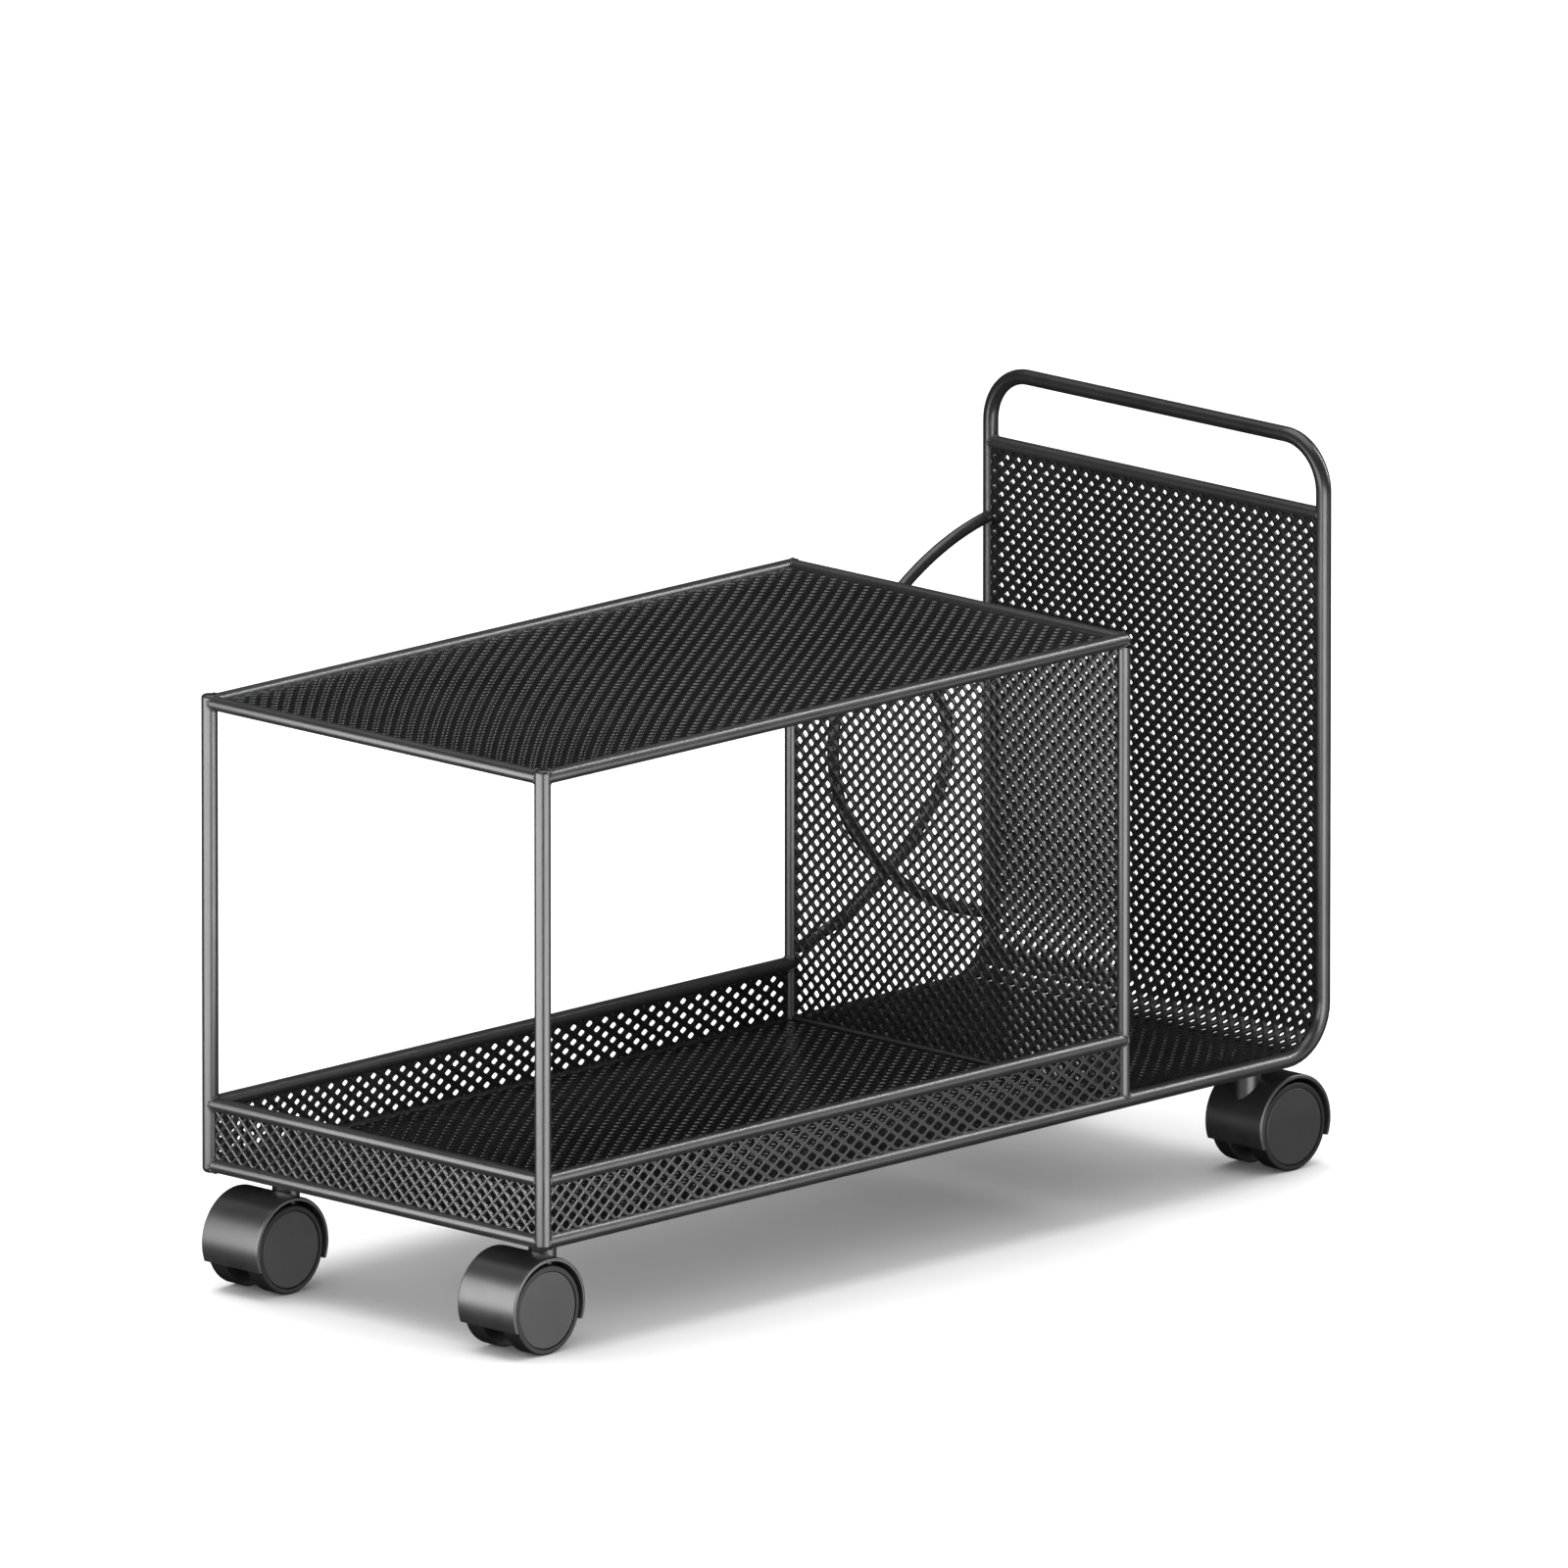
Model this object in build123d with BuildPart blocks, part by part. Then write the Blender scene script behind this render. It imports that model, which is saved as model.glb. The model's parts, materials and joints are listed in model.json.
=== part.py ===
"""Mobile printer stand: a welded tube frame with a shelf, a low tray and a tall bay, on four casters.

Origin at floor level under the middle of the stand, +X toward the handle end, +Y toward the far side,
+Z up, millimetres. The nose is the -X end. "Near" is the -Y side and "far" is the +Y side.
"""

from build123d import *
from math import cos, radians, sin, sqrt
import os

os.makedirs("parts", exist_ok=True)

# Frame, between tube axes
length = 641.5  # nose posts to uprights
width = 267.0  # near side to far side
bay_length = 165.5  # divider to uprights
shelf_height = 272.0  # bottom rails to shelf rails
rim_height = 36.0  # bottom rails to tray rims
crossbar_height = 318.0
handle_height = 361.0
bend_radius = 30.0

# Tubes and rods
wall = 1.0
loop_radius = 4.5
post_radius = 4.75
slim_post_radius = 3.8
rail_radius = 4.2
guard_rod_radius = 3.5
base_wire_radius = 1.25
weld_gap = 0.05  # between a coped tube end and the tube that it is welded to

# Expanded-metal sheets, as plain sheets
sheet_thickness = 0.8
sheet_rise = 2.5  # floor sheet above the bottom rails' axes, and end panel inside the uprights
sheet_gap = 0.5  # sheet edge to tube

# Casters
wheel_radius = 26.0
caster_inset = 30.5  # swivel axis from the corner of the frame, along X and Y
trail = 17.0  # wheel axle behind the swivel axis
rail_z = 70.0  # bottom rails' axes above the floor
hood_radius = 29.5
hood_lift = 1.5  # middle of the hood's arc above the axle
hood_wall = 2.2
hood_half_width = 22.5
wheel_inner_face = 8.8  # from the middle of the caster, along the axle
wheel_outer_face = 21.3
axle_radius = 3.0
stem_pin_radius = 4.0
stem_thread_radius = 5.0
running_clearance = 0.06

# Places worked out from those
nose_x = -length / 2
upright_x = length / 2
divider_x = upright_x - bay_length
near_y = -width / 2
far_y = width / 2
shelf_z = rail_z + shelf_height
rim_z = rail_z + rim_height
crossbar_z = rail_z + crossbar_height
handle_z = rail_z + handle_height
floor_sheet_z = rail_z + sheet_rise
X, Y, Z = (1, 0, 0), (0, 1, 0), (0, 0, 1)


def save(part, name):
    part.part.label = name
    export_step(part.part, f"parts/{name}.step")


def bar(at, direction, radius, reach=40.0):
    """Long round bar through `at`, used to cope a tube's end or to cut a hole."""
    return Plane(origin=at, z_dir=direction) * Cylinder(radius, 2 * reach)


def tube_bars(tubes, clearance=weld_gap):
    return [bar(at, direction, radius + clearance) for at, direction, radius in tubes]


def straight_tube(name, start, end, radius, meets=(), more_cuts=()):
    """Hollow tube between two tube axes, its ends coped to the tubes it meets."""
    run = Vector(*end) - Vector(*start)
    copes = tube_bars(meets) + list(more_cuts)
    with BuildPart() as tube:
        with BuildSketch(Plane(origin=start, z_dir=run)):
            Circle(radius)
            Circle(radius - wall, mode=Mode.SUBTRACT)
        extrude(amount=run.length)
        add(copes, mode=Mode.SUBTRACT)
    save(tube, name)


def bent_tube(name, points, meets=()):
    """Hollow loop tube along straight runs with the frame's bend radius between them."""
    copes = tube_bars(meets)
    with BuildPart() as tube:
        with BuildLine() as route:
            FilletPolyline(*points, radius=bend_radius)
        with BuildSketch(Plane(origin=route.wire() @ 0, z_dir=route.wire() % 0)):
            Circle(loop_radius)
            Circle(loop_radius - wall, mode=Mode.SUBTRACT)
        sweep(path=route.wire())
        add(copes, mode=Mode.SUBTRACT)
    save(tube, name)


# ---------------------------------------------------------------- tube frame
sides = {"near": near_y, "far": far_y}

for side, y in sides.items():
    bent_tube(
        f"{side}_side_tube",
        [(nose_x, y, rail_z), (upright_x, y, rail_z), (upright_x, y, crossbar_z)],
        meets=[((nose_x, y, rail_z), Z, post_radius)],
    )

bent_tube(
    "handle_tube",
    [
        (upright_x, near_y, crossbar_z),
        (upright_x, near_y, handle_z),
        (upright_x, far_y, handle_z),
        (upright_x, far_y, crossbar_z),
    ],
)

spigot_up = 12.0
spigot_down = 35.0
with BuildPart() as handle_spigots:
    for y in sides.values():
        with BuildSketch(Plane((upright_x, y, crossbar_z - spigot_down))):
            Circle(loop_radius - wall - weld_gap)
    extrude(amount=spigot_up + spigot_down)
save(handle_spigots, "handle_spigots")

straight_tube(
    "handle_crossbar",
    (upright_x, near_y, crossbar_z),
    (upright_x, far_y, crossbar_z),
    rail_radius,
    [((upright_x, y, crossbar_z), Z, loop_radius) for y in sides.values()],
)

cap_top_height = 2.1
cap_bottom_height = 3.2
post_top = shelf_z + rail_radius + 0.5 - cap_top_height
post_bottom = rail_z - rail_radius - 0.4 + cap_bottom_height
for side, y in sides.items():
    straight_tube(f"{side}_nose_post", (nose_x, y, post_bottom), (nose_x, y, post_top), post_radius)
    straight_tube(
        f"{side}_divider_post",
        (divider_x, y, rail_z),
        (divider_x, y, shelf_z),
        slim_post_radius,
        [
            ((divider_x, y, rail_z), X, loop_radius),
            ((divider_x, y, shelf_z), X, rail_radius),
            ((divider_x, y, shelf_z), Y, rail_radius),
        ],
    )

with BuildPart() as nose_post_caps:
    for y in sides.values():
        with BuildSketch(Plane((nose_x, y, post_top + weld_gap))):
            Circle(post_radius)
        extrude(amount=cap_top_height)
        with BuildSketch(Plane((nose_x, y, post_bottom - weld_gap))):
            Circle(post_radius)
        extrude(amount=-cap_bottom_height)
    rings = nose_post_caps.edges().filter_by(GeomType.CIRCLE).sort_by(Axis.Z)
    fillet(rings[:2], radius=cap_bottom_height - 0.2)
    rings = nose_post_caps.edges().filter_by(GeomType.CIRCLE).sort_by(Axis.Z)
    fillet(rings[-2:], radius=cap_top_height - 0.1)
save(nose_post_caps, "nose_post_caps")

# The nose rails butt against the nose posts and, beside them, against the side members that start there.
nose_rails = {
    "nose_bottom_rail": (rail_z, loop_radius),
    "tray_nose_rim": (rim_z, rail_radius),
    "shelf_nose_rail": (shelf_z, rail_radius),
}
from_its_end = (Align.CENTER, Align.CENTER, Align.MIN)
for name, (z, side_radius) in nose_rails.items():
    meets = [((nose_x, y, z), Z, post_radius) for y in sides.values()]
    side_cuts = [
        Plane(origin=(nose_x, y, z), z_dir=X) * Cylinder(side_radius + weld_gap, 40, align=from_its_end)
        for y in sides.values()
    ]
    straight_tube(name, (nose_x, near_y, z), (nose_x, far_y, z), rail_radius, meets, side_cuts)

for side, y in sides.items():
    straight_tube(
        f"tray_{side}_rim",
        (nose_x, y, rim_z),
        (divider_x, y, rim_z),
        rail_radius,
        [((nose_x, y, rim_z), Z, post_radius), ((divider_x, y, rim_z), Z, slim_post_radius)],
    )

# The shelf's side rails run over the divider posts and end in closed round noses.
for side, y in sides.items():
    post_cope = bar((nose_x, y, shelf_z), Z, post_radius + weld_gap)
    with BuildPart() as rail:
        with BuildSketch(Plane(origin=(nose_x, y, shelf_z), z_dir=X)):
            Circle(rail_radius)
        extrude(amount=divider_x - nose_x)
        with Locations((divider_x, y, shelf_z)):
            Sphere(rail_radius)
        with BuildSketch(Plane(origin=(nose_x, y, shelf_z), z_dir=X)):
            Circle(rail_radius - wall)
        extrude(amount=divider_x - nose_x, mode=Mode.SUBTRACT)
        add(post_cope, mode=Mode.SUBTRACT)
    save(rail, f"shelf_{side}_rail")

straight_tube(
    "shelf_divider_rail",
    (divider_x, near_y, shelf_z),
    (divider_x, far_y, shelf_z),
    rail_radius,
    [((divider_x, y, shelf_z), X, rail_radius) for y in sides.values()],
)

base_wire_z = floor_sheet_z + sheet_thickness / 2 + base_wire_radius + weld_gap
base_wire_x = divider_x - sheet_thickness / 2 - base_wire_radius - weld_gap
with BuildPart() as divider_base_wire:
    with BuildSketch(Plane(origin=(base_wire_x, 0, base_wire_z), z_dir=Y)):
        Circle(base_wire_radius)
    extrude(amount=width / 2 - slim_post_radius, both=True)
save(divider_base_wire, "divider_base_wire")


# ---------------------------------------------------------------- back guard rods
# Each rod leaves its post at a shallow slope, turns round a bulge and comes back to the same post:
# two long outer arcs with a tighter one between them. The rods cross, one notched over the other.
guard_bulge = 132.0
guard_start_slope = 10.0
guard_arc_end_slope = 50.0
guard_offset = 1.2


def guard_rod(name, post_x, post_r, toward, y, low, high, notch=None):
    a, b = radians(guard_start_slope), radians(guard_arc_end_slope)
    half = (high - low) / 2
    # Radii that give the bulge and the half height from the two slopes.
    m11, m12, m21, m22 = sin(b) - sin(a), 1 - sin(b), cos(a) - cos(b), cos(b)
    det = m11 * m22 - m12 * m21
    outer = (guard_bulge * m22 - m12 * half) / det
    inner = (m11 * half - guard_bulge * m21) / det
    turn = guard_arc_end_slope - guard_start_slope
    plane = Plane(origin=(post_x, y, low), x_dir=(toward, 0, 0), z_dir=(0, -toward, 0))
    cuts = [bar((post_x, far_y, (low + high) / 2), Z, post_r + weld_gap, reach=high - low)]
    if notch:
        cuts.append(notch.part)
    with BuildPart() as rod:
        with BuildLine(plane) as route:
            first = JernArc((0, 0), (cos(a), sin(a)), outer, turn)
            middle = JernArc(first @ 1, first % 1, inner, 180 - 2 * guard_arc_end_slope)
            JernArc(middle @ 1, middle % 1, outer, turn)
        with BuildSketch(Plane(origin=route.wire() @ 0, z_dir=route.wire() % 0)):
            Circle(guard_rod_radius)
        sweep(path=route.wire())
        add(cuts, mode=Mode.SUBTRACT)
    save(rod, name)
    return rod


upright_guard_low, upright_guard_top = rail_z + 38.0, rail_z + 275.0
divider_guard_low, divider_guard_top = rail_z + 42.5, rail_z + 246.5
upright_guard_y = far_y - guard_offset
divider_guard_y = far_y + guard_offset
upright_guard_rod = guard_rod(
    "upright_guard_rod", upright_x, loop_radius, -1, upright_guard_y, upright_guard_low, upright_guard_top
)
guard_rod(
    "divider_guard_rod",
    divider_x,
    slim_post_radius,
    1,
    divider_guard_y,
    divider_guard_low,
    divider_guard_top,
    notch=upright_guard_rod,
)


# ---------------------------------------------------------------- expanded-metal sheets
def sheet(name, plane, across, up, cuts=()):
    """Flat sheet centred on its plane, `across` by `up` from the plane's origin, notched for posts."""
    notches = tube_bars(cuts, sheet_gap)
    with BuildPart() as panel:
        with BuildSketch(plane):
            Rectangle(across, up, align=(Align.MIN, Align.MIN))
        extrude(amount=sheet_thickness / 2, both=True)
        add(notches, mode=Mode.SUBTRACT)
    save(panel, name)


shelf_edge = rail_radius + sheet_gap
sheet(
    "shelf_mesh",
    Plane((nose_x + shelf_edge, near_y + shelf_edge, shelf_z)),
    divider_x - nose_x - 2 * shelf_edge,
    width - 2 * shelf_edge,
    [((nose_x, y, shelf_z), Z, post_radius) for y in sides.values()],
)

# At the floor sheet's height a side tube is this much narrower than at its axis.
floor_edge = sqrt(loop_radius**2 - sheet_rise**2) + sheet_gap
nose_edge = sqrt(rail_radius**2 - sheet_rise**2) + sheet_gap
sheet_join = 0.5  # each floor sheet ends this far from the middle of the divider, which stands between them
sheet(
    "tray_floor_mesh",
    Plane((nose_x + nose_edge, near_y + floor_edge, floor_sheet_z)),
    divider_x - nose_x - nose_edge - sheet_join,
    width - 2 * floor_edge,
    [((nose_x, y, rail_z), Z, post_radius) for y in sides.values()]
    + [((divider_x, y, rail_z), Z, slim_post_radius) for y in sides.values()],
)

end_panel_x = upright_x - sheet_rise
end_panel_top = crossbar_z - sqrt(rail_radius**2 - sheet_rise**2) - sheet_gap
sheet_bend = bend_radius - sheet_rise
bay_notches = tube_bars([((divider_x, y, rail_z), Z, slim_post_radius) for y in sides.values()], sheet_gap)
bay_notches += [
    bar((upright_x, upright_guard_y, z), X, guard_rod_radius + sheet_gap)
    for z in (upright_guard_low, upright_guard_top)
]
with BuildPart() as bay_mesh:
    with BuildSketch(Plane(origin=(0, near_y + floor_edge, 0), x_dir=X, z_dir=(0, -1, 0))):
        with BuildLine():
            floor_run = Line((divider_x + sheet_join, floor_sheet_z), (end_panel_x - sheet_bend, floor_sheet_z))
            bend = JernArc(floor_run @ 1, (1, 0), sheet_bend, 90)
            Line(bend @ 1, (end_panel_x, end_panel_top))
            offset(amount=sheet_thickness / 2, side=Side.BOTH)
        make_face()
    extrude(amount=-(width - 2 * floor_edge))
    add(bay_notches, mode=Mode.SUBTRACT)
save(bay_mesh, "bay_mesh")

divider_bottom = floor_sheet_z + sheet_thickness / 2 + weld_gap
sheet(
    "divider_mesh",
    Plane(origin=(divider_x, near_y + slim_post_radius + sheet_gap, divider_bottom), x_dir=Y, z_dir=X),
    width - 2 * (slim_post_radius + sheet_gap),
    shelf_z - rail_radius - sheet_gap - divider_bottom,
)

wall_bottom = rail_z + loop_radius + 0.2
wall_height = rim_z - rail_radius - 0.2 - wall_bottom
sheet(
    "nose_wall_mesh",
    Plane(origin=(nose_x, near_y + post_radius + sheet_gap, wall_bottom), x_dir=Y, z_dir=X),
    width - 2 * (post_radius + sheet_gap),
    wall_height,
)
for side, y in sides.items():
    sheet(
        f"{side}_wall_mesh",
        Plane(origin=(nose_x + post_radius + sheet_gap, y, wall_bottom), x_dir=X, z_dir=(0, -1, 0)),
        divider_x - nose_x - post_radius - slim_post_radius - 2 * sheet_gap,
        wall_height,
    )


# ---------------------------------------------------------------- caster straps and weld nuts
strap_width = 24.0
strap_thickness = 2.5
strap_bottom = rail_z - 3.1
stem_hole_radius = stem_thread_radius + 0.3
nut_flats = 14.0
nut_height = 7.0
caster_x = upright_x - caster_inset
caster_y = far_y - caster_inset

for name, x in {"nose_caster_strap": -caster_x, "handle_caster_strap": caster_x}.items():
    with BuildPart() as strap:
        with BuildSketch(Plane((x, 0, strap_bottom))):
            Rectangle(strap_width, width - 2 * (loop_radius + 0.1))
            with Locations((0, -caster_y), (0, caster_y)):
                Circle(stem_hole_radius, mode=Mode.SUBTRACT)
        extrude(amount=strap_thickness)
    save(strap, name)

nut_top = strap_bottom - weld_gap
with BuildPart() as caster_weld_nuts:
    with BuildSketch(Plane.XY.offset(nut_top)):
        with GridLocations(2 * caster_x, 2 * caster_y, 2, 2):
            RegularPolygon(nut_flats / 2, 6, major_radius=False)
            Circle(stem_thread_radius + weld_gap, mode=Mode.SUBTRACT)
    extrude(amount=-nut_height)
save(caster_weld_nuts, "caster_weld_nuts")


# ---------------------------------------------------------------- casters
hood_skirt = 9.0  # the hood ends this far below the axle
boss_radius = 8.0
boss_top = nut_top - nut_height - 2.2
boss_bottom = wheel_radius - 8.0
web_half = 3.0
hub_radius = 7.5
stem_bottom = boss_bottom + 8.0
cap_radius = 22.7
cap_thickness = 2.0
cap_recess = 2.4
tread_radius = 21.0  # inside of the tread ring


def caster(name, x, y, way, outboard):
    """One twin-wheel caster on its swivel axis (x, y), trailing along X toward `way`."""
    axle_x = x + way * trail
    side_plane = Plane(origin=(axle_x, y, wheel_radius), x_dir=X, z_dir=(0, -1, 0))
    axle_hole = bar((axle_x, y, wheel_radius), Y, axle_radius + 0.02)

    with BuildPart() as stem:
        with BuildSketch(Plane((x, y, stem_bottom))):
            Circle(stem_pin_radius)
        extrude(amount=boss_top + 1.0 - stem_bottom)
        with BuildSketch(Plane((x, y, boss_top + 0.5))):
            Circle(boss_radius - 1.0)
        extrude(amount=1.5)
        with BuildSketch(Plane((x, y, boss_top + 2.0))):
            Circle(stem_thread_radius)
        extrude(amount=strap_bottom + strap_thickness - boss_top - 2.0)
        chamfer(stem.faces().sort_by(Axis.Z)[-1].edges(), length=0.8)
    save(stem, f"{name}_stem")

    with BuildPart() as hood:
        # Half-round shell over both wheels, open at its sides and below.
        with BuildSketch(side_plane):
            with Locations((0, hood_lift)):
                Circle(hood_radius)
                Circle(hood_radius - hood_wall, mode=Mode.SUBTRACT)
            with Locations((0, -hood_skirt)):
                Rectangle(3 * hood_radius, 2 * hood_radius, align=(Align.CENTER, Align.MAX), mode=Mode.SUBTRACT)
        extrude(amount=hood_half_width, both=True)
        rims = hood.edges().filter_by(GeomType.CIRCLE).filter_by(lambda e: abs(e.radius - hood_radius) < 0.01)
        fillet(rims, radius=1.2)
        # Web between the wheels, with a hub round the axle.
        with BuildSketch(side_plane):
            with Locations((0, hood_lift)):
                Circle(hood_radius - hood_wall / 2)
            with Locations((0, -hood_skirt)):
                Rectangle(3 * hood_radius, 2 * hood_radius, align=(Align.CENTER, Align.MAX), mode=Mode.SUBTRACT)
            Circle(hub_radius + 2)
        extrude(amount=web_half, both=True)
        with BuildSketch(side_plane):
            Circle(hub_radius)
        extrude(amount=wheel_inner_face - 0.4, both=True)
        # Stem boss that stands up out of the hood's back.
        with BuildSketch(Plane((x, y, boss_bottom))):
            Circle(boss_radius)
        extrude(amount=boss_top - boss_bottom)
        add(axle_hole, mode=Mode.SUBTRACT)
        with BuildSketch(Plane((x, y, boss_top))):
            Circle(stem_pin_radius + running_clearance)
        extrude(amount=-(boss_top - stem_bottom + 0.5), mode=Mode.SUBTRACT)
    save(hood, f"{name}_hood")

    axle_half = wheel_outer_face - cap_recess - 1.0
    with BuildPart() as axle:
        with BuildSketch(side_plane):
            Circle(axle_radius)
        extrude(amount=axle_half, both=True)
        chamfer(axle.edges().filter_by(GeomType.CIRCLE), length=0.5)
    save(axle, f"{name}_axle")

    for which, sign in {"outboard": outboard, "inboard": -outboard}.items():
        wheel_plane = Plane(origin=(axle_x, y, wheel_radius), x_dir=Z, z_dir=(-sign, 0, 0))
        spin = Axis((axle_x, y, wheel_radius), Y)
        # Half section: u outward from the axle, v along it toward the wheel's outer face.
        bore = axle_radius + running_clearance
        face, recess = wheel_outer_face, wheel_outer_face - cap_recess
        with BuildPart() as wheel:
            with BuildSketch(wheel_plane):
                with BuildLine():
                    Polyline(
                        (bore, wheel_inner_face),
                        (wheel_radius, wheel_inner_face),
                        (wheel_radius, face),
                        (cap_radius + 0.2, face),
                        (cap_radius + 0.2, recess),
                        (tread_radius, recess),
                        (tread_radius, wheel_inner_face + 2.4),
                        (hub_radius, wheel_inner_face + 2.4),
                        (hub_radius, recess - 0.2),
                        (bore, recess - 0.2),
                        close=True,
                    )
                make_face()
            revolve(axis=spin)
            treads = wheel.edges().filter_by(GeomType.CIRCLE)
            fillet(treads.filter_by(lambda e: abs(e.radius - wheel_radius) < 0.01), radius=1.2)
        save(wheel, f"{name}_{which}_wheel")

        with BuildPart() as cap:
            cap_plane = Plane(
                origin=(axle_x, y + sign * (recess + 0.1), wheel_radius), x_dir=X, z_dir=(0, sign, 0)
            )
            with BuildSketch(cap_plane):
                Circle(cap_radius)
            extrude(amount=cap_thickness)
            outer_edge = cap.edges().filter_by(GeomType.CIRCLE).sort_by(Axis.Y)[-1 if sign > 0 else 0]
            fillet(outer_edge, radius=0.8)
        save(cap, f"{name}_{which}_cap")


for end, way in {"nose": -1, "handle": 1}.items():
    for side, outboard in {"near": -1, "far": 1}.items():
        caster(f"{end}_{side}_caster", way * caster_x, outboard * caster_y, way, outboard)
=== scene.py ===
"""Looks of the mobile printer stand: expanded-metal sheets, weld beads, caster mouldings and finishes.

Metres, in the row frame: +X toward the handle end, +Y toward the far side, +Z up. The nose is the -X end.
"""

import json
import math

import bpy
import numpy as np
from mathutils import Matrix, Vector


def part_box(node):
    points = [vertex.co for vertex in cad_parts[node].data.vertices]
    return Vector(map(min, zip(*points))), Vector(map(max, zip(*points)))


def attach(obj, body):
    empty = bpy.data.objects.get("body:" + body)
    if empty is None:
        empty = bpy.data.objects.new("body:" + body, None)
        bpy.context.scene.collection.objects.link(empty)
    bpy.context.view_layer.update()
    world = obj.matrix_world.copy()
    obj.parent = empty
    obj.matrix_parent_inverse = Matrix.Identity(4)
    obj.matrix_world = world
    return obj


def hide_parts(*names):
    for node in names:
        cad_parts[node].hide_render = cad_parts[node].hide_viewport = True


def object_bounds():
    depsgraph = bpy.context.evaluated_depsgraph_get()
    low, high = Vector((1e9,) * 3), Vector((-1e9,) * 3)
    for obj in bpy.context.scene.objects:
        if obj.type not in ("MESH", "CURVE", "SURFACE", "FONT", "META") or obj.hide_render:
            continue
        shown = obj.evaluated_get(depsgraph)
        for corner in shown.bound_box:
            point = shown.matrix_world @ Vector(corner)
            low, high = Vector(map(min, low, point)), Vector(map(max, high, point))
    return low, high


MM = 0.001

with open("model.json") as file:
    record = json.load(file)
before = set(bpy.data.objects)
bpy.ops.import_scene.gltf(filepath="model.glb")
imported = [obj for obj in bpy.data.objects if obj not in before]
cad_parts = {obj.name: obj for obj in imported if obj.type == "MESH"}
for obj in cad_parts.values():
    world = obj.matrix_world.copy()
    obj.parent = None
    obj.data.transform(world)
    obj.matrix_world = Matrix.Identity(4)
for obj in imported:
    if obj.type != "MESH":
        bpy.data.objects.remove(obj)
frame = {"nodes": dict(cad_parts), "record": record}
cad_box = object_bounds()
nodes = frame["nodes"]
slot_of = {row["node"]: row["material_slot"] for row in frame["record"]["subparts"]}
bodies = frame["record"]["behaviour"]["bodies"]
body_of = {name: body for body, names in bodies.items() for name in names}

scene = bpy.context.scene
scene.view_settings.view_transform = "Standard"


# ---------------------------------------------------------------- camera
IMAGE_WIDTH = 1600
SENSOR_WIDTH = 36.0
FOCAL_PIXELS = 58763.0
CAMERA_PLACE = (-23.0087, -22.4664, 7.9489)
CAMERA_RIGHT = (0.69843, -0.71568, 0.0)
CAMERA_UP = (0.16640, 0.16239, 0.97260)


def make_camera():
    data = bpy.data.cameras.new("camera")
    data.sensor_width = SENSOR_WIDTH
    data.lens = FOCAL_PIXELS * SENSOR_WIDTH / IMAGE_WIDTH
    data.clip_start, data.clip_end = 1.0, 120.0
    camera = bpy.data.objects.new("camera", data)
    right, up = Vector(CAMERA_RIGHT).normalized(), Vector(CAMERA_UP).normalized()
    back = right.cross(up)
    turn = Matrix((right, up, back)).transposed().to_4x4()
    camera.matrix_world = Matrix.Translation(CAMERA_PLACE) @ turn
    scene.collection.objects.link(camera)
    scene.camera = camera


# ---------------------------------------------------------------- materials
def new_material(name):
    material = bpy.data.materials.new(name)
    material.use_nodes = True
    tree = material.node_tree
    return material, tree, tree.nodes["Principled BSDF"]


def noise(tree, scale, detail=3.0, roughness=0.5, stretch=None):
    """Noise over the piece's own coordinates, in metres."""
    place = tree.nodes.new("ShaderNodeTexCoord")
    texture = tree.nodes.new("ShaderNodeTexNoise")
    texture.inputs["Scale"].default_value = scale
    texture.inputs["Detail"].default_value = detail
    texture.inputs["Roughness"].default_value = roughness
    source = place.outputs["Object"]
    if stretch:
        mapping = tree.nodes.new("ShaderNodeMapping")
        mapping.inputs["Scale"].default_value = stretch
        tree.links.new(source, mapping.inputs["Vector"])
        source = mapping.outputs["Vector"]
    tree.links.new(source, texture.inputs["Vector"])
    return texture.outputs["Fac"]


def ramp(tree, fac, stops):
    """Colour ramp; each stop is (position, grey or colour)."""
    node = tree.nodes.new("ShaderNodeValToRGB")
    elements = node.color_ramp.elements
    while len(elements) < len(stops):
        elements.new(0.5)
    for element, (position, colour) in zip(elements, stops):
        element.position = position
        rgb = (colour,) * 3 if isinstance(colour, (int, float)) else colour
        element.color = (*rgb, 1.0)
    tree.links.new(fac, node.inputs["Fac"])
    return node.outputs["Color"]


def mix(tree, fac, a, b):
    node = tree.nodes.new("ShaderNodeMix")
    node.data_type = "RGBA"
    for socket, value in zip((node.inputs[0], node.inputs[6], node.inputs[7]), (fac, a, b)):
        if isinstance(value, (int, float)):
            socket.default_value = value
        elif isinstance(value, tuple):
            socket.default_value = (*value, 1.0)
        else:
            tree.links.new(value, socket)
    return node.outputs[2]


def spread(tree, fac, low, high):
    node = tree.nodes.new("ShaderNodeMapRange")
    node.inputs["To Min"].default_value = low
    node.inputs["To Max"].default_value = high
    tree.links.new(fac, node.inputs["Value"])
    return node.outputs["Result"]


def bump(tree, shader, *layers):
    """Stacks (height, strength, distance) layers into the shader's normal."""
    normal = None
    for height, strength, distance in layers:
        node = tree.nodes.new("ShaderNodeBump")
        node.inputs["Strength"].default_value = strength
        node.inputs["Distance"].default_value = distance
        tree.links.new(height, node.inputs["Height"])
        if normal is not None:
            tree.links.new(normal, node.inputs["Normal"])
        normal = node.outputs["Normal"]
    tree.links.new(normal, shader.inputs["Normal"])


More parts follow.
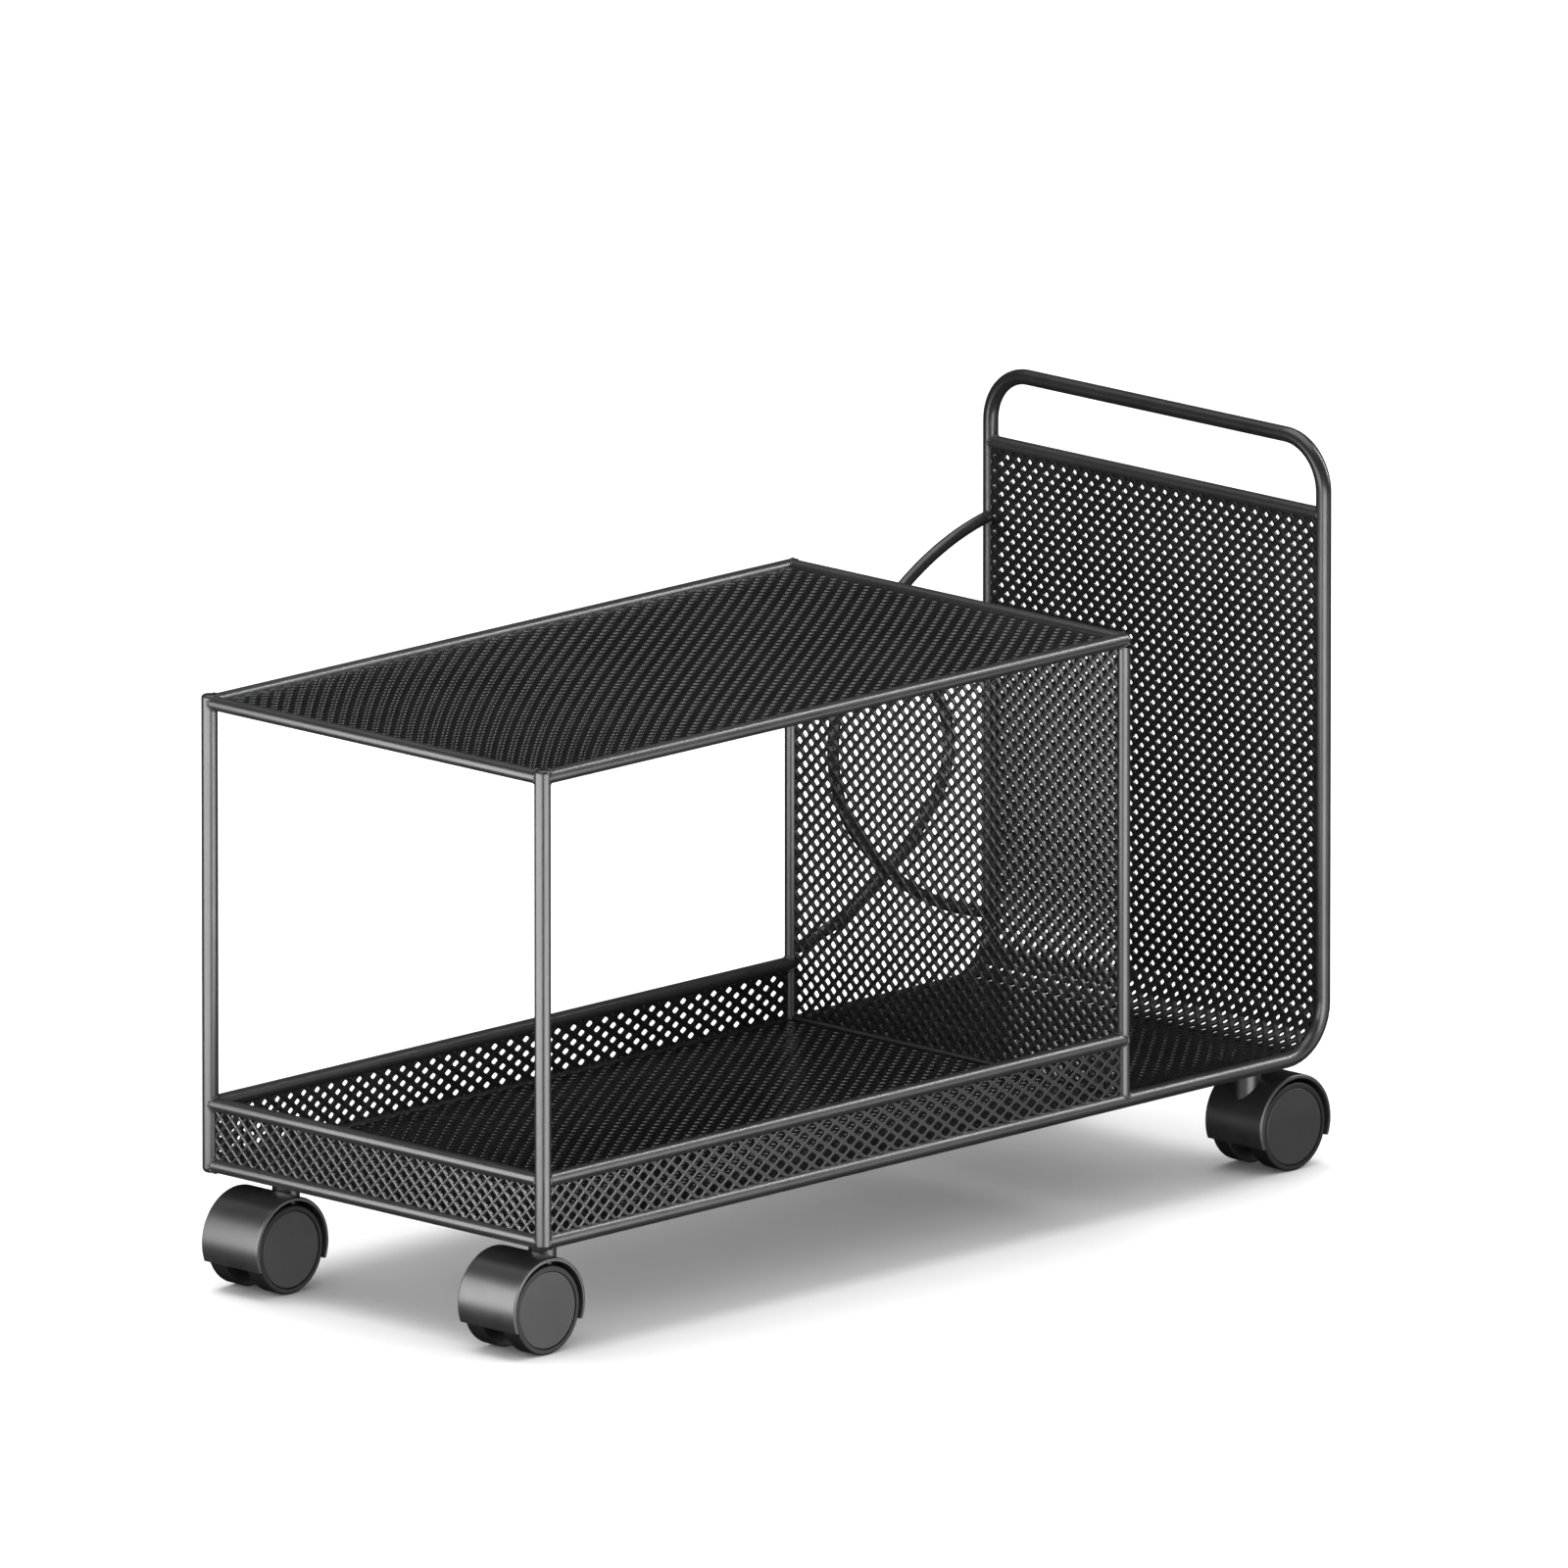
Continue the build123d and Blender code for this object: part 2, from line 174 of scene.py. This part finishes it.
def powder_coat(name, dark, light, metallic, rough):
    """Satin powder coat: fine orange peel, faint cloudiness, and paint a little lighter on sharp edges, partly
    wear and partly a painted highlight where rounded edges would catch the light.
    """
    material, tree, shader = new_material(name)
    cloud = noise(tree, 22.0, 4.0)
    grain = noise(tree, 1900.0, 2.0)
    base = ramp(tree, cloud, [(0.35, dark), (0.65, light)])
    speck = ramp(tree, noise(tree, 900.0, 1.0), [(0.66, 0.0), (0.74, 1.0)])
    base = mix(tree, speck, base, tuple(c * 1.35 for c in light))
    edge = tree.nodes.new("ShaderNodeNewGeometry").outputs["Pointiness"]
    # Sharp edges get lighter paint: partly wear, partly a painted highlight standing in for the glint of rounded
    # edges.
    edge_wear_and_painted_highlight = ramp(tree, edge, [(0.53, 0.0), (0.6, 1.0)])
    base = mix(tree, spread(tree, edge_wear_and_painted_highlight, 0.0, 0.35), base, tuple(c * 1.9 for c in light))
    tree.links.new(base, shader.inputs["Base Color"])
    tree.links.new(spread(tree, noise(tree, 60.0, 5.0), rough - 0.07, rough + 0.07), shader.inputs["Roughness"])
    shader.inputs["Metallic"].default_value = metallic
    bump(tree, shader, (grain, 0.25, 0.00006), (noise(tree, 420.0, 2.0), 0.3, 0.00008))
    return material


def plastic(name, dark, light, rough, specular=0.5):
    """Moulded plastic: fine texture, slight gloss variation and lighter dust in scattered patches."""
    material, tree, shader = new_material(name)
    base = ramp(tree, noise(tree, 45.0, 4.0), [(0.3, dark), (0.7, light)])
    dust = ramp(tree, noise(tree, 350.0, 6.0, 0.7), [(0.6, 0.0), (0.8, 1.0)])
    base = mix(tree, spread(tree, dust, 0.0, 0.12), base, (0.16, 0.155, 0.15))
    tree.links.new(base, shader.inputs["Base Color"])
    tree.links.new(spread(tree, noise(tree, 130.0, 5.0), rough - 0.05, rough + 0.06), shader.inputs["Roughness"])
    shader.inputs["Specular IOR Level"].default_value = specular
    bump(tree, shader, (noise(tree, 2600.0, 2.0), 0.2, 0.00004), (noise(tree, 70.0, 2.0), 0.2, 0.0003))
    return material


def plated(name):
    """Dark zinc plate: streaky grey metal with dull spots."""
    material, tree, shader = new_material(name)
    streak = noise(tree, 300.0, 5.0, 0.6, stretch=(1.0, 1.0, 0.15))
    base = ramp(tree, streak, [(0.3, (0.10, 0.10, 0.105)), (0.7, (0.30, 0.30, 0.31))])
    tree.links.new(base, shader.inputs["Base Color"])
    tree.links.new(spread(tree, noise(tree, 800.0, 4.0), 0.25, 0.55), shader.inputs["Roughness"])
    shader.inputs["Metallic"].default_value = 0.9
    bump(tree, shader, (streak, 0.3, 0.00015))
    return material


def floor_finish():
    material, tree, shader = new_material("pale_floor")
    tint = ramp(tree, noise(tree, 1.5, 3.0), [(0.3, 0.86), (0.7, 0.88)])
    tree.links.new(tint, shader.inputs["Base Color"])
    shader.inputs["Roughness"].default_value = 0.9
    shader.inputs["Specular IOR Level"].default_value = 0.1
    return material


finishes = {
    "frame_paint": powder_coat("frame_paint", (0.020, 0.020, 0.0205), (0.030, 0.030, 0.031), 0.30, 0.30),
    "mesh_paint": powder_coat("mesh_paint", (0.008, 0.008, 0.0082), (0.012, 0.012, 0.0122), 0.20, 0.27),
    "plated_steel": plated("plated_steel"),
    "hood_plastic": plastic("hood_plastic", (0.018, 0.018, 0.0185), (0.026, 0.026, 0.027), 0.34),
    "wheel_nylon": plastic("wheel_nylon", (0.004, 0.004, 0.0042), (0.007, 0.007, 0.0072), 0.55, 0.25),
    "cap_plastic": plastic("cap_plastic", (0.017, 0.017, 0.017), (0.024, 0.024, 0.024), 0.45, 0.3),
}


def finish_with(piece, slot):
    piece.data.materials.clear()
    piece.data.materials.append(finishes[slot])


# ---------------------------------------------------------------- mesh helpers
def new_piece(name, vertices, faces, slot, body, smooth=False):
    mesh = bpy.data.meshes.new(name)
    mesh.from_pydata([tuple(v) for v in vertices], [], [tuple(int(i) for i in f) for f in faces])
    mesh.validate()
    mesh.polygons.foreach_set("use_smooth", [smooth] * len(mesh.polygons))
    piece = bpy.data.objects.new(name, mesh)
    scene.collection.objects.link(piece)
    finish_with(piece, slot)
    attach(piece, body)
    return piece


# ---------------------------------------------------------------- expanded-metal sheets
FINE_PITCH = 9.0 * MM  # between hole centres, across a sheet and on the upright sheets
STRAND_THICKNESS = 1.7 * MM  # at the strands' ridges
EDGE_SHARE = 0.86  # thickness at a hole's edge over that at the ridge
HOLE_SHARE = 0.49  # hole's diagonal over the pitch, on sheets not named here:
HOLE_SHARES = {"nose_wall_mesh": 0.66, "near_wall_mesh": 0.64, "divider_mesh": 0.58, "bay_mesh": 0.43}
HOLE_ROUNDING = 1.6  # 2 is a plain diamond, 1 a circle
ARC_STEPS = 3  # straight edges in a quarter of a hole
GRID_SAMPLES = 4001
BAY_BEND = 27.5 * MM  # radius of the bay sheet's middle surface at the foot of the end panel
TUCK = 1.6 * MM  # strand ends reach this far past the plain sheet's edge, into the tubes


def stretched_rate(s):
    """Holes per metre along the floor, s metres from the nose rail: drawn out longest in the middle."""
    loosest, loosest_at = 76.5, 0.290
    rise_before, rise_after = 320.0, 200.0
    away = s - loosest_at
    return loosest + np.where(away < 0, rise_before, rise_after) * away**2


def even_rate(s):
    return np.full_like(s, 1 / FINE_PITCH)


def grid_lines(start, end, rate):
    """Half-pitch lines from start to end, spaced by the rate and fitted to a whole number."""
    s = np.linspace(start, end, GRID_SAMPLES)
    holes = np.concatenate([[0], np.cumsum((rate(s[1:]) + rate(s[:-1])) / 2 * np.diff(s))])
    count = max(2, round(2 * holes[-1]))
    return np.interp(np.linspace(0, holes[-1], count + 1), holes, s)


def quarter_cell(share):
    """One quarter cell, holes at its low and high corners: unit points, which of them are ridge, and faces."""
    t = np.linspace(0, math.pi / 2, ARC_STEPS + 1)
    c, s = np.cos(t).clip(0) ** HOLE_ROUNDING, np.sin(t) ** HOLE_ROUNDING
    low = np.stack([share * c, share * s], 1)
    high = np.stack([1 - share * s, 1 - share * c], 1)
    points = np.concatenate([low, high, (low + high) / 2, [(1, 0), (0, 1)]])
    n, last = ARC_STEPS + 1, ARC_STEPS
    ridge = np.arange(len(points)) >= 2 * n
    faces = []
    for j in range(ARC_STEPS):
        faces += [(j, 2 * n + j, 2 * n + j + 1, j + 1), (2 * n + j, n + j, n + j + 1, 2 * n + j + 1)]
    faces += [(0, 3 * n, 2 * n), (2 * n, 3 * n, n)]
    faces += [(last, 2 * n + last, 3 * n + 1), (2 * n + last, n + last, 3 * n + 1)]
    return points, ridge, faces


def lattice(columns, rows, share):
    """Strands over columns by rows quarter cells: points in cell coordinates, ridge flags and faces."""
    cell, ridge, cell_faces = quarter_cell(share)
    mirrored = np.stack([1 - cell[:, 0], cell[:, 1]], 1)
    column, row = np.meshgrid(np.arange(columns), np.arange(rows), indexing="ij")
    corner = np.stack([column.ravel(), row.ravel()], 1).astype(float)
    odd = (column + row).ravel() % 2 == 1
    points = corner[:, None, :] + np.where(odd[:, None, None], mirrored, cell)
    # Neighbouring cells share their edge points, which are merged by rounded position.
    keys = np.round(points.reshape(-1, 2) * 1e5).astype(np.int64)
    _, first, index = np.unique(keys[:, 0] * 10**10 + keys[:, 1], return_index=True, return_inverse=True)
    points = points.reshape(-1, 2)[first]
    index = index.reshape(-1, len(cell))
    faces = []
    for face in cell_faces:
        ring = index[:, face]
        ring[odd] = ring[odd][:, ::-1]
        faces += ring.tolist()
    return points, np.tile(ridge, columns * rows)[first], faces


def closed_sheet(flat_faces, count):
    """Faces of a closed sheet whose upper points are 0..count-1 and lower points count..2*count-1."""
    directed = {(a, b) for f in flat_faces for a, b in zip(f, f[1:] + f[:1])}
    rims = [(a, b) for a, b in directed if (b, a) not in directed]
    faces = [list(f) for f in flat_faces]
    faces += [[i + count for i in reversed(f)] for f in flat_faces]
    faces += [[b, a, a + count, b + count] for a, b in sorted(rims)]
    return faces


def expanded_sheet(node, across_u, across_v, place):
    """Expanded-metal sheet in place of a plain one; place(u, v, lift) gives its points in the row frame."""
    share = HOLE_SHARES.get(node, HOLE_SHARE)
    points, ridge, faces = lattice(len(across_u) - 1, len(across_v) - 1, share)
    u = np.interp(points[:, 0], np.arange(len(across_u)), across_u)
    v = np.interp(points[:, 1], np.arange(len(across_v)), across_v)
    lift = STRAND_THICKNESS / 2 * np.where(ridge, 1.0, EDGE_SHARE)
    top, bottom = place(u, v, lift), place(u, v, -lift)
    piece = new_piece(
        f"{node.removesuffix('_mesh')}_expanded_sheet",
        np.concatenate([top, bottom]),
        closed_sheet(faces, len(points)),
        slot_of[node],
        body_of[node],
    )
    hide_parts(node)


def flat_place(axis_u, axis_v, fixed):
    """Maps sheet coordinates onto a plane square to the row's axes; fixed is (axis, position)."""
    normal_axis, level = fixed
    sign = 1.0 if (axis_u, axis_v, normal_axis) in ((0, 1, 2), (1, 2, 0), (2, 0, 1)) else -1.0

    def place(u, v, lift):
        out = np.zeros((len(u), 3))
        out[:, axis_u], out[:, axis_v], out[:, normal_axis] = u, v, level + sign * lift
        return out

    return place


def make_sheets():
    lo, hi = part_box("near_nose_post")
    nose_x = lo.x / 2 + hi.x / 2

    def along_x(s):
        return stretched_rate(s - nose_x)

    # Level sheets and the tray's long walls are drawn out along X.
    for node in ("shelf_mesh", "tray_floor_mesh"):
        lo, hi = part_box(node)
        xs = grid_lines(lo.x - TUCK, hi.x + (TUCK if node == "shelf_mesh" else 0), along_x)
        ys = grid_lines(lo.y - TUCK, hi.y + TUCK, even_rate)
        expanded_sheet(node, xs, ys, flat_place(0, 1, (2, (lo.z + hi.z) / 2)))
    for node in ("near_wall_mesh", "far_wall_mesh"):
        lo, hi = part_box(node)
        xs = grid_lines(lo.x - TUCK, hi.x + TUCK, along_x)
        zs = grid_lines(lo.z - TUCK, hi.z + TUCK, even_rate)
        expanded_sheet(node, xs, zs, flat_place(0, 2, (1, (lo.y + hi.y) / 2)))

    for node in ("nose_wall_mesh", "divider_mesh"):
        lo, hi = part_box(node)
        ys = grid_lines(lo.y - TUCK, hi.y + TUCK, even_rate)
        zs = grid_lines(lo.z - (TUCK if node == "nose_wall_mesh" else 0), hi.z + TUCK, even_rate)
        expanded_sheet(node, ys, zs, flat_place(1, 2, (0, (lo.x + hi.x) / 2)))

    # The bay's sheet runs along the floor, round a bend and up the end panel.
    lo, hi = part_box("bay_mesh")
    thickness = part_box("shelf_mesh")[1].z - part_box("shelf_mesh")[0].z
    floor_z, panel_x = lo.z + thickness / 2, hi.x - thickness / 2
    floor_run = panel_x - BAY_BEND - lo.x
    quarter = BAY_BEND * math.pi / 2

    def place(s, v, lift):
        # s is measured along the sheet from its edge under the divider.
        turn = ((s - floor_run) / BAY_BEND).clip(0, math.pi / 2)
        up = (s - floor_run - quarter).clip(0)
        x = lo.x + np.minimum(s, floor_run) + BAY_BEND * np.sin(turn)
        z = floor_z + BAY_BEND * (1 - np.cos(turn)) + up
        return np.stack([x - lift * np.sin(turn), v, z + lift * np.cos(turn)], 1)

    def along_bay(s):
        return np.minimum(stretched_rate(s + lo.x - nose_x), 1 / FINE_PITCH)

    sheet_end = floor_run + quarter + hi.z - floor_z - BAY_BEND + TUCK
    ss = grid_lines(0.0, sheet_end, along_bay)
    ys = grid_lines(lo.y - TUCK, hi.y + TUCK, even_rate)
    expanded_sheet("bay_mesh", ss, ys, place)


# ---------------------------------------------------------------- weld beads
BEAD_RADIUS = 0.75 * MM
BEAD_STEPS, BEAD_SIDES = 64, 8
RIPPLES = 15  # overlapping puddles round a bead
RIPPLE_HEIGHT = 0.22  # over the bead's radius
BOX_MARGIN = 0.05 * MM  # how far the beads stay inside the CAD box


def axis_of(node, axis):
    """A straight tube's middle and radius, from its box; axis is the one it runs along."""
    lo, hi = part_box(node)
    return (lo + hi) / 2, (hi - lo)[(axis + 1) % 3] / 2


def weld_bead(place, along, post_axis, tube_radius, post_radius):
    """Rippled bead round a tube that butts a round post at `place`; the tube runs toward `along`."""
    across = along.cross(post_axis)
    turn = np.linspace(0, 2 * math.pi, BEAD_STEPS, endpoint=False)
    points = []
    for angle in turn:
        outward = across * math.cos(angle) + post_axis * math.sin(angle)
        reach = math.sqrt(max(post_radius**2 - (tube_radius * math.cos(angle)) ** 2, 0.0))
        middle = place + outward * tube_radius + along * reach
        phase = RIPPLES * angle + 40 * place.x + 70 * place.z  # differs from joint to joint
        radius = BEAD_RADIUS * (1 + RIPPLE_HEIGHT * math.sin(phase))
        for side in np.linspace(0, 2 * math.pi, BEAD_SIDES, endpoint=False):
            points.append(middle + (outward * math.cos(side) + along * math.sin(side)) * radius)
    faces = []
    for i in range(BEAD_STEPS):
        j = (i + 1) % BEAD_STEPS
        for k in range(BEAD_SIDES):
            m = (k + 1) % BEAD_SIDES
            faces.append((i * BEAD_SIDES + k, i * BEAD_SIDES + m, j * BEAD_SIDES + m, j * BEAD_SIDES + k))
    return points, faces


def make_weld_beads():
    x_axis, y_axis, z_axis = Vector((1, 0, 0)), Vector((0, 1, 0)), Vector((0, 0, 1))
    beads = []
    for side, inward in (("near", y_axis), ("far", -y_axis)):
        nose, nose_radius = axis_of(f"{side}_nose_post", 2)
        divider, divider_radius = axis_of(f"{side}_divider_post", 2)
        lo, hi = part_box(f"{side}_side_tube")
        loop_radius = (hi.y - lo.y) / 2
        bottom = Vector((nose.x, nose.y, lo.z + loop_radius))
        beads.append((bottom, x_axis, z_axis, loop_radius, nose_radius))
        crossbar, bar_radius = axis_of("handle_crossbar", 1)
        beads.append((Vector((crossbar.x, nose.y, crossbar.z)), inward, z_axis, bar_radius, loop_radius))
        for node in ("nose_bottom_rail", "tray_nose_rim", "shelf_nose_rail"):
            rail, radius = axis_of(node, 1)
            beads.append((Vector((nose.x, nose.y, rail.z)), inward, z_axis, radius, nose_radius))
        rim, radius = axis_of(f"tray_{side}_rim", 0)
        beads.append((Vector((nose.x, nose.y, rim.z)), x_axis, z_axis, radius, nose_radius))
        beads.append((Vector((divider.x, nose.y, rim.z)), -x_axis, z_axis, radius, divider_radius))
        top, radius = axis_of(f"shelf_{side}_rail", 0)
        beads.append((Vector((nose.x, nose.y, top.z)), x_axis, z_axis, radius, nose_radius))
        beads.append((Vector((divider.x, nose.y, top.z)), -z_axis, x_axis, divider_radius, radius))
        beads.append((Vector((divider.x, nose.y, top.z)), inward, x_axis, radius, radius))
        beads.append((Vector((divider.x, nose.y, bottom.z)), z_axis, x_axis, divider_radius, loop_radius))

    points, faces = [], []
    for bead in beads:
        more_points, more_faces = weld_bead(*bead)
        faces += [tuple(i + len(points) for i in face) for face in more_faces]
        points += more_points
    inside = cad_box[1].y - BOX_MARGIN
    for point in points:
        point.y = max(-inside, min(inside, point.y))
    new_piece("weld_beads", points, faces, "frame_paint", "frame", smooth=True)


# ---------------------------------------------------------------- stage
FLOOR_REACH = 40.0  # from the middle to each edge
FLOOR_GAP = 0.0002  # under the wheels


def make_floor():
    r = FLOOR_REACH
    mesh = bpy.data.meshes.new("floor")
    mesh.from_pydata([(-r, -r, 0), (r, -r, 0), (r, r, 0), (-r, r, 0)], [], [(0, 1, 2, 3)])
    floor = bpy.data.objects.new("floor", mesh)
    floor.location.z = cad_box[0].z - FLOOR_GAP
    scene.collection.objects.link(floor)
    floor.data.materials.append(floor_finish())
    floor.visible_glossy = False
    floor.visible_shadow = False  # some light boxes reach below the floor, which mustn't block them


def softbox(name, place, aim, size, watts):
    data = bpy.data.lights.new(name, "AREA")
    data.shape = "RECTANGLE"
    data.size, data.size_y = size
    data.energy = watts
    light = bpy.data.objects.new(name, data)
    light.location = place
    light.rotation_mode = "QUATERNION"
    light.rotation_quaternion = (Vector(aim) - Vector(place)).to_track_quat("-Z", "Y")
    scene.collection.objects.link(light)
    return light


def make_lights():
    """Broad soft light for the floor; four boxes round the stand show only as reflections in the paint."""
    world = bpy.data.worlds.new("studio")
    scene.world = world
    world.use_nodes = True
    background = world.node_tree.nodes["Background"]
    background.inputs["Color"].default_value = (1.0, 1.0, 1.0, 1.0)
    background.inputs["Strength"].default_value = 1.15
    world.cycles_visibility.glossy = False
    middle = (0.0, 0.0, 0.2)
    softbox("overhead", (0.1, 0.4, 3.4), middle, (3.4, 3.4), 115.0)
    for name, place, aim, size, watts in (
        ("nose_side", (-0.80, 0.05, 0.22), (-0.3, 0.05, 0.22), (1.1, 0.56), 19.0),
        ("front", (-0.16, -0.80, 0.08), (-0.16, 0.0, 0.08), (0.88, 0.54), 14.0),
        ("front_right", (0.62, -0.80, -0.05), (0.62, 0.0, -0.05), (0.68, 0.50), 2.0),
        ("handle_side", (2.0, -1.1, 1.5), middle, (0.18, 2.2), 62.0),
    ):
        light = softbox(name, place, aim, size, watts)
        light.visible_diffuse = False
        light.visible_camera = False


# ---------------------------------------------------------------- assemble
for name, node in nodes.items():
    finish_with(node, slot_of[name])

make_sheets()
make_weld_beads()
make_camera()
make_floor()
make_lights()
